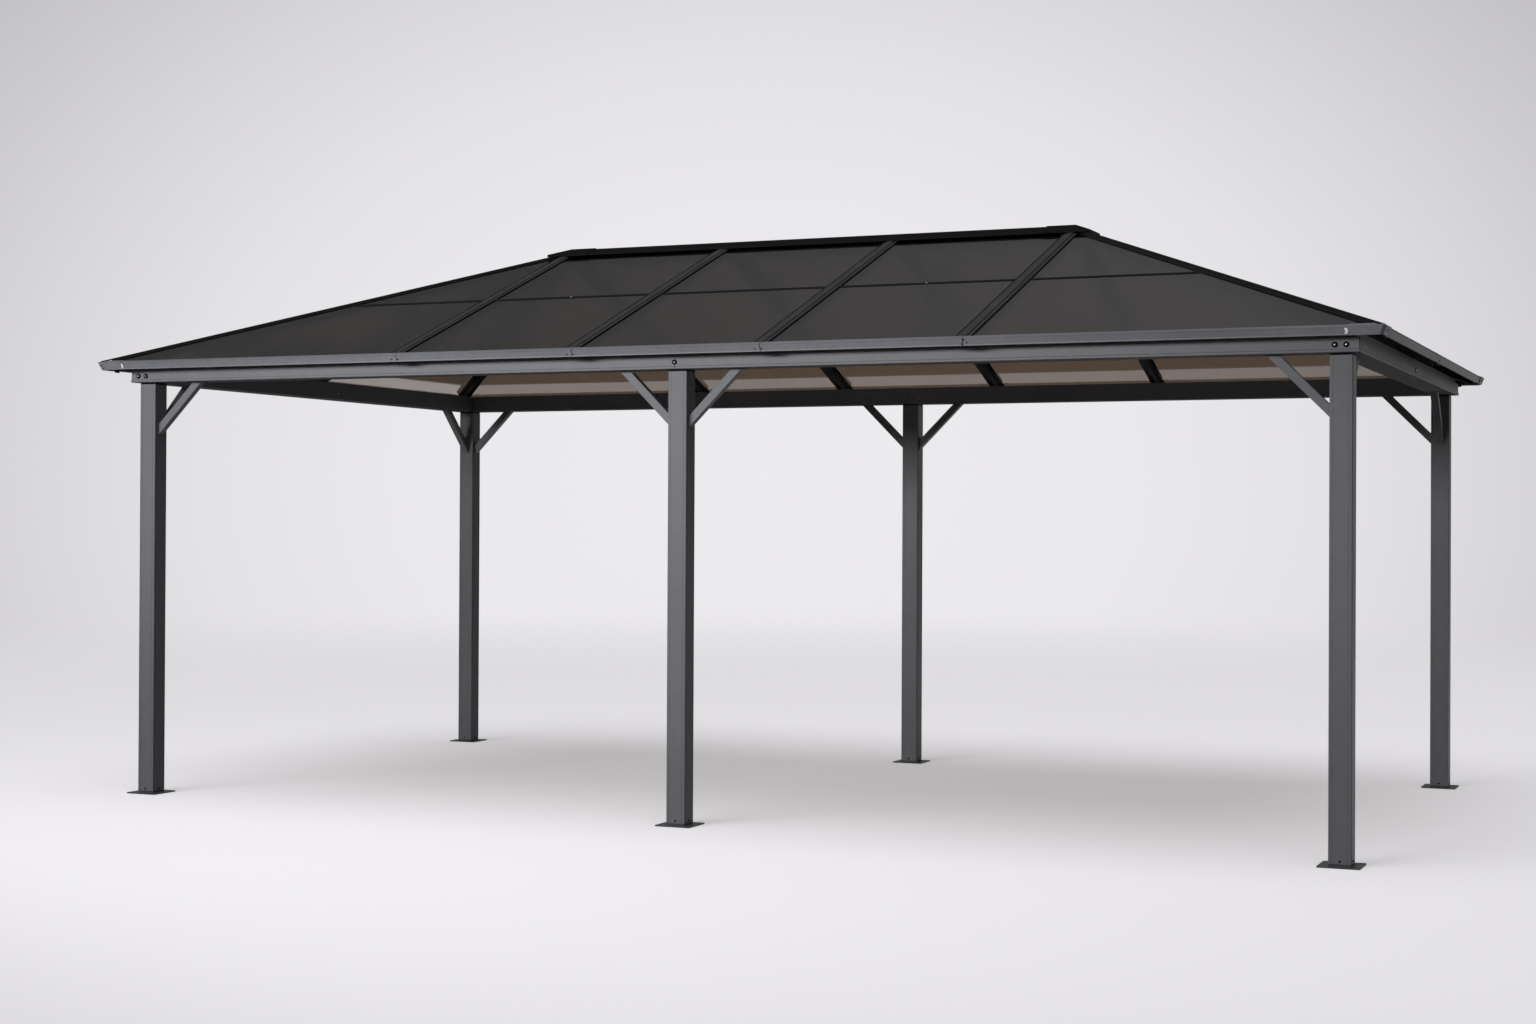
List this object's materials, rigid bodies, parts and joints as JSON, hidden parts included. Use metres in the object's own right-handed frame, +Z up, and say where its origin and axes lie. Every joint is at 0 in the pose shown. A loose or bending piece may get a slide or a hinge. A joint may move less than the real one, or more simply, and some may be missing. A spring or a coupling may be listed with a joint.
{
  "type": "six-post hip-roof metal gazebo",
  "caption": "Open garden gazebo: square metal posts on bolted foot plates carry beams with knee braces and a hipped roof of tinted clear sheets held in glazing bars.",
  "frame": {"origin": "on the floor at the middle of the plan", "axes": "+X along the length to the right as seen from the front, +Y to the back, +Z up"},
  "size_m": [6.1046, 3.3886, 2.7591],
  "materials": {
    "frame_metal": "satin anthracite powder coat on aluminium",
    "foot_steel": "satin anthracite powder coat on galvanised steel",
    "eave_metal": "satin anthracite powder coat on aluminium",
    "ridge_metal": "satin black powder coat",
    "joint_seal": "matt black extruded strip",
    "tinted_sheet": "glossy bronze-tinted polycarbonate"
  },
  "bodies": {
    "root": {"back_beam_left": "frame_metal", "back_beam_right": "frame_metal", "back_eave_trim": "eave_metal", "back_left_braces": "frame_metal", "back_left_foot": "foot_steel", "back_left_hip": "frame_metal", "back_left_post": "frame_metal", "back_middle_braces": "frame_metal", "back_middle_foot": "foot_steel", "back_middle_post": "frame_metal", "back_right_braces": "frame_metal", "back_right_foot": "foot_steel", "back_right_hip": "frame_metal", "back_right_post": "frame_metal", "back_roof_sheets": "tinted_sheet", "eave_corners": "eave_metal", "front_beam_left": "frame_metal", "front_beam_right": "frame_metal", "front_eave_trim": "eave_metal", "front_left_braces": "frame_metal", "front_left_foot": "foot_steel", "front_left_hip": "frame_metal", "front_left_post": "frame_metal", "front_middle_braces": "frame_metal", "front_middle_foot": "foot_steel", "front_middle_post": "frame_metal", "front_right_braces": "frame_metal", "front_right_foot": "foot_steel", "front_right_hip": "frame_metal", "front_right_post": "frame_metal", "front_roof_sheets": "tinted_sheet", "left_beam": "frame_metal", "left_eave_trim": "eave_metal", "left_roof_sheets": "tinted_sheet", "post_heads": "ridge_metal", "rafters": "frame_metal", "ridge_beam": "frame_metal", "ridge_cap": "ridge_metal", "ridge_hubs": "frame_metal", "right_beam": "frame_metal", "right_eave_trim": "eave_metal", "right_roof_sheets": "tinted_sheet", "sheet_joints": "joint_seal", "trim_clips": "ridge_metal"}
  },
  "joints": []
}
